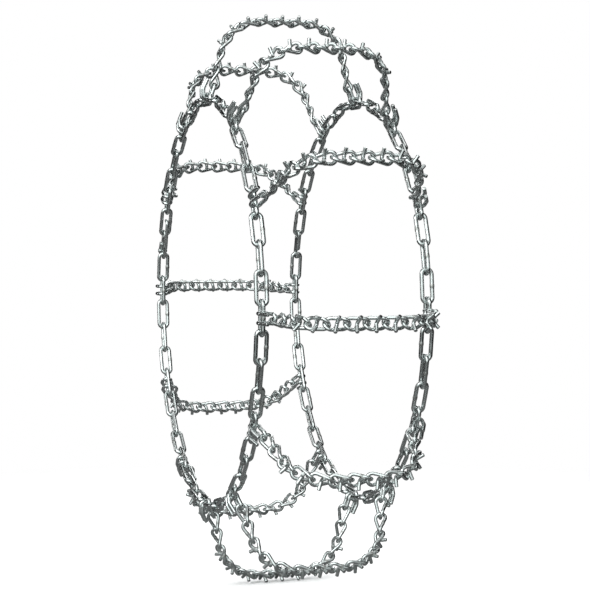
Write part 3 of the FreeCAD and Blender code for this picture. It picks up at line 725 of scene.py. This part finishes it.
side_nodes = [node for node in frame["nodes"] if "side_chain" in node or node.endswith("end_link")]
for number, node in enumerate(sorted(side_nodes)):
    links = []
    for index, place in enumerate(link_places(node)):
        seed = SIDE_SEED + number * SEEDS_PER_RUN + index
        turn_over = (1.0, -1.0, -1.0, 1.0)
        links.append(link_chunk(side_rod, side_faces, side_weld, side_ends, seed, turn_over, place))
    add_piece(f"{node}_run", node, links, "side_chains", "side_chain_steel")


# ------------------------------------------------------------------ fasteners

FORGING_VOXEL, FORGING_PASSES = 0.0004, 3
PIT_SCALE, PIT_DEPTH = 160, 0.00012


def forged(node, body):
    """The CAD piece with its edges softened and its faces pitted as a forging's are."""
    skin = bmesh.new()
    skin.from_mesh(frame["nodes"][node].data)
    bmesh.ops.remove_doubles(skin, verts=skin.verts, dist=SAME_PLACE)
    mesh = bpy.data.meshes.new(f"{node}_forging")
    skin.to_mesh(mesh)
    skin.free()
    piece = bpy.data.objects.new(f"{node}_forging", mesh)
    bpy.context.scene.collection.objects.link(piece)
    remesh = piece.modifiers.new("skin", "REMESH")
    remesh.mode, remesh.voxel_size = "VOXEL", FORGING_VOXEL
    soften = piece.modifiers.new("soften", "SMOOTH")
    soften.iterations, soften.factor = FORGING_PASSES, 0.5
    graph = bpy.context.evaluated_depsgraph_get()
    made = bpy.data.meshes.new_from_object(piece.evaluated_get(graph))
    piece.modifiers.clear()
    piece.data = made
    count = len(made.vertices)
    places, normals = np.empty(count * 3), np.empty(count * 3)
    made.vertices.foreach_get("co", places)
    made.vertices.foreach_get("normal", normals)
    dents = np.array([noise.noise(Vector(p) * PIT_SCALE) for p in places.reshape(-1, 3)]) * PIT_DEPTH
    made.vertices.foreach_set("co", places + normals * np.repeat(dents, 3))
    for label in ("weld", "wear", "cut"):
        made.attributes.new(label, "FLOAT", "POINT")
    made.polygons.foreach_set("use_smooth", [True] * len(made.polygons))
    made.materials.clear()
    made.materials.append(steel["fastener_steel"])
    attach(piece, body)
    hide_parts(node)


for node, body in (
    ("fastener_body", "side_chains"),
    ("fastener_pin", "side_chains"),
    ("inner_fastener_hook", "side_chains"),
    ("fastener_lever", "lever"),
):
    forged(node, body)


# ------------------------------------------------------------------ floor, light and camera

FLOOR_RADIUS, FLOOR_DROP = 2.4, 0.0008
FLOOR_COLOUR, FLOOR_ROUGHNESS = (0.86, 0.865, 0.865), 0.7

# How much of the floor's colour the metal reflects, a painted shade that darkens the metal's undersides,
# and where the floor starts to fade and is gone.
FLOOR_IN_METAL = 0.1
FADE_START, FADE_END = 0.5, 1.9


def floor_paint():
    """Pale paint that fades out into the white background, and that the metal reflects only dimly, as
    painted shade on the metal's undersides.
    """
    material = bpy.data.materials.new("floor_paint")
    material.use_nodes = True
    tree = material.node_tree
    shader = tree.nodes["Principled BSDF"]
    shader.inputs["Roughness"].default_value = FLOOR_ROUGHNESS
    path = tree.nodes.new("ShaderNodeLightPath")
    # Painted shade: in glossy rays the floor's colour drops to FLOOR_IN_METAL of itself, so the metal's
    # undersides reflect it dark.
    tone = tree.nodes.new("ShaderNodeMix")
    tone.data_type = "RGBA"
    tone.inputs[MIX_FIRST].default_value = (*FLOOR_COLOUR, 1)
    tone.inputs[MIX_SECOND].default_value = (*shaded(FLOOR_COLOUR, FLOOR_IN_METAL), 1)
    tree.links.new(path.outputs["Is Glossy Ray"], tone.inputs[MIX_SHARE])
    tree.links.new(tone.outputs[MIX_RESULT], shader.inputs["Base Color"])
    where = tree.nodes.new("ShaderNodeTexCoord")
    far = tree.nodes.new("ShaderNodeVectorMath")
    far.operation = "LENGTH"
    fade = tree.nodes.new("ShaderNodeMapRange")
    fade.interpolation_type = "SMOOTHSTEP"
    for index, value in enumerate((FADE_START, FADE_END, 1.0, 0.0), start=1):
        fade.inputs[index].default_value = value
    tree.links.new(where.outputs["Object"], far.inputs[0])
    tree.links.new(far.outputs["Value"], fade.inputs[0])
    tree.links.new(fade.outputs[0], shader.inputs["Alpha"])
    return material


low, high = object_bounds()
bpy.ops.mesh.primitive_circle_add(
    vertices=96, radius=FLOOR_RADIUS, fill_type="NGON", location=(0, 0, low.z - FLOOR_DROP)
)
floor = bpy.context.object
floor.name = "floor"
floor.data.materials.append(floor_paint())
floor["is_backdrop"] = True

# The camera: its direction from the object, its tilt, its distance in metres, and its lens.
AZIMUTH, ELEVATION, ROLL, DISTANCE, LENS = 73.3, 1.51, -0.39, 3.012, 94.74
SENSOR, SHIFT = 36.0, (0.0240, 0.0107)


def from_azimuth(azimuth, elevation, distance):
    """A place seen from the object: azimuth 0 is -Y and 90 is +X."""
    a, e = math.radians(azimuth), math.radians(elevation)
    return Vector((math.sin(a) * math.cos(e), -math.cos(a) * math.cos(e), math.sin(e))) * distance


def softbox(name, azimuth, elevation, distance, width, height, power, tint=(1, 1, 1)):
    """A soft light that faces the object."""
    data = bpy.data.lights.new(name, "AREA")
    data.shape, data.size, data.size_y, data.energy, data.color = "RECTANGLE", width, height, power, tint
    light = bpy.data.objects.new(name, data)
    light.location = from_azimuth(azimuth, elevation, distance)
    light.rotation_mode = "QUATERNION"
    light.rotation_quaternion = light.location.to_track_quat("Z", "Y")
    bpy.context.scene.collection.objects.link(light)


# What the metal reflects: dim beside and behind, bright towards FRONT. Each row is how far a direction
# turns to FRONT, from 0 for away to 1, and how bright it is there.
FRONT = from_azimuth(AZIMUTH - 14, 26, 1.0)
REFLECTED = (
    (0.0, 0.06), (0.25, 0.008), (0.67, 0.010), (0.79, 0.05), (0.88, 0.45), (0.94, 1.35), (1.0, 2.0)
)
REFLECTED_TINT = (0.94, 1.0, 0.99)

# How much brighter the room is for the floor than for the eye.
FLOOR_LIGHT = 0.2


def studio():
    """A white room for the eye and for the floor, with darker surroundings for the metal to reflect."""
    world = bpy.data.worlds.new("studio")
    bpy.context.scene.world = world
    world.use_nodes = True
    nodes, wires = world.node_tree.nodes, world.node_tree.links
    nodes.clear()

    def math_node(operation, *values):
        made = nodes.new("ShaderNodeMath")
        made.operation = operation
        for socket, value in zip(made.inputs, values):
            if isinstance(value, float):
                socket.default_value = value
            else:
                wires.new(value, socket)
        return made.outputs[0]

    peak = REFLECTED[-1][1]
    ramp = nodes.new("ShaderNodeValToRGB")
    steps = ramp.color_ramp.elements
    for position, _ in REFLECTED[1:-1]:
        steps.new(position)
    steps[0].position, steps[-1].position = REFLECTED[0][0], REFLECTED[-1][0]
    for step, (_, level) in zip(steps, REFLECTED):
        step.color = (*shaded(REFLECTED_TINT, level / peak), 1)

    facing = nodes.new("ShaderNodeVectorMath")
    facing.operation = "DOT_PRODUCT"
    facing.inputs[1].default_value = FRONT
    wires.new(nodes.new("ShaderNodeTexCoord").outputs["Generated"], facing.inputs[0])
    share = nodes.new("ShaderNodeMapRange")
    share.inputs["From Min"].default_value = -1.0
    wires.new(facing.outputs["Value"], share.inputs["Value"])
    wires.new(share.outputs[0], ramp.inputs[0])

    reflected = nodes.new("ShaderNodeBackground")
    reflected.inputs["Strength"].default_value = peak
    wires.new(ramp.outputs[0], reflected.inputs["Color"])

    path = nodes.new("ShaderNodeLightPath")
    diffuse, camera = path.outputs["Is Diffuse Ray"], path.outputs["Is Camera Ray"]
    white = nodes.new("ShaderNodeBackground")
    white.inputs["Color"].default_value = (1.0, 1.0, 1.0, 1)
    wires.new(math_node("MULTIPLY_ADD", diffuse, FLOOR_LIGHT, 1.0), white.inputs["Strength"])

    mix = nodes.new("ShaderNodeMixShader")
    wires.new(math_node("MAXIMUM", camera, diffuse), mix.inputs[0])
    wires.new(reflected.outputs[0], mix.inputs[1])
    wires.new(white.outputs[0], mix.inputs[2])
    wires.new(mix.outputs[0], nodes.new("ShaderNodeOutputWorld").inputs[0])


studio()

# Angles in degrees, then distance, width and height in metres, then power in watts.
softbox("key", AZIMUTH - 38, 34, 3.2, 1.3, 1.3, 26)
softbox("fill", AZIMUTH + 52, 18, 3.4, 0.7, 1.6, 6, (0.97, 1.0, 1.0))
softbox("overhead", AZIMUTH, 86, 3.0, 2.0, 2.0, 18)
softbox("back", AZIMUTH + 172, 32, 3.4, 2.2, 1.5, 28)
softbox("left_edge", AZIMUTH - 110, 12, 3.2, 0.9, 1.8, 10)

camera_data = bpy.data.cameras.new("photo_view")
camera = bpy.data.objects.new("photo_view", camera_data)
camera_data.lens, camera_data.sensor_width = LENS, SENSOR
camera_data.shift_x, camera_data.shift_y = SHIFT
camera.location = from_azimuth(AZIMUTH, ELEVATION, DISTANCE)
camera.rotation_mode = "QUATERNION"
view = camera.location.to_track_quat("Z", "Y")
camera.rotation_quaternion = view @ Euler((0, 0, math.radians(ROLL))).to_quaternion()
bpy.context.scene.collection.objects.link(camera)
bpy.context.scene.camera = camera
bpy.context.scene.view_settings.view_transform = "Standard"

low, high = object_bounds()
